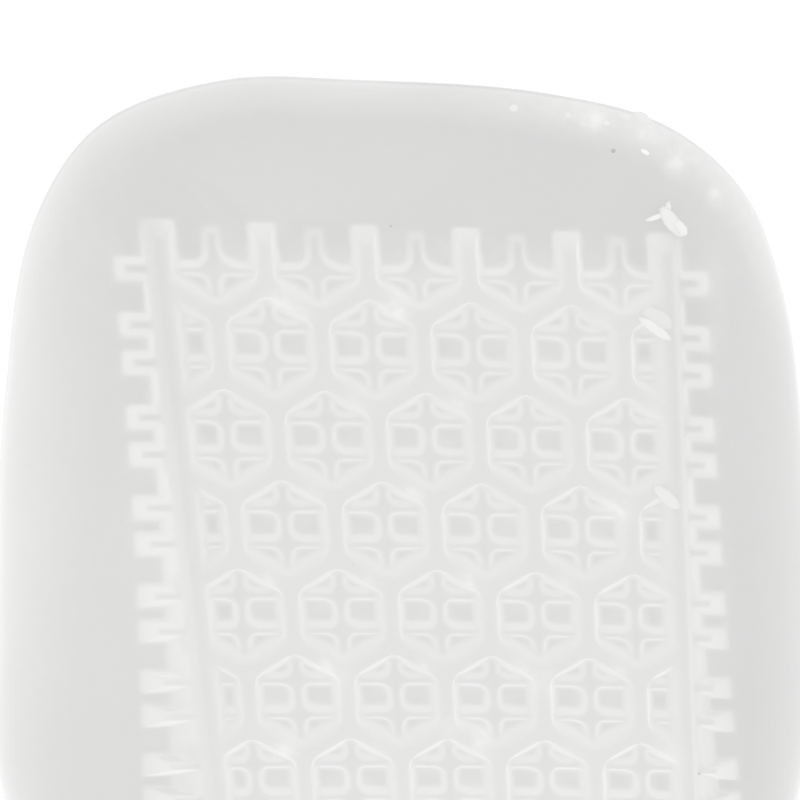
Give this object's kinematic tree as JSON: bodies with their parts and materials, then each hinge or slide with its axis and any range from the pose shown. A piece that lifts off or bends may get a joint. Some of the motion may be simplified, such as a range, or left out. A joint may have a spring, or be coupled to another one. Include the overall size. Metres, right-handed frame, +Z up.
{
  "type": "gel heel pad",
  "caption": "One-piece soft gel heel cup with a raised honeycomb waffle on its underside, lying with the ribs up.",
  "frame": {"origin": "middle of the rim's plane, which the pad lies on", "axes": "+Y towards the thin front edge, +X to the right seen from the ribbed side, +Z up, out of the ribs"},
  "size_m": [0.0708, 0.0979, 0.0168],
  "materials": {
    "gel": "satin, milky see-through soft gel"
  },
  "bodies": {
    "root": {"heel_pad": "gel"}
  },
  "joints": []
}
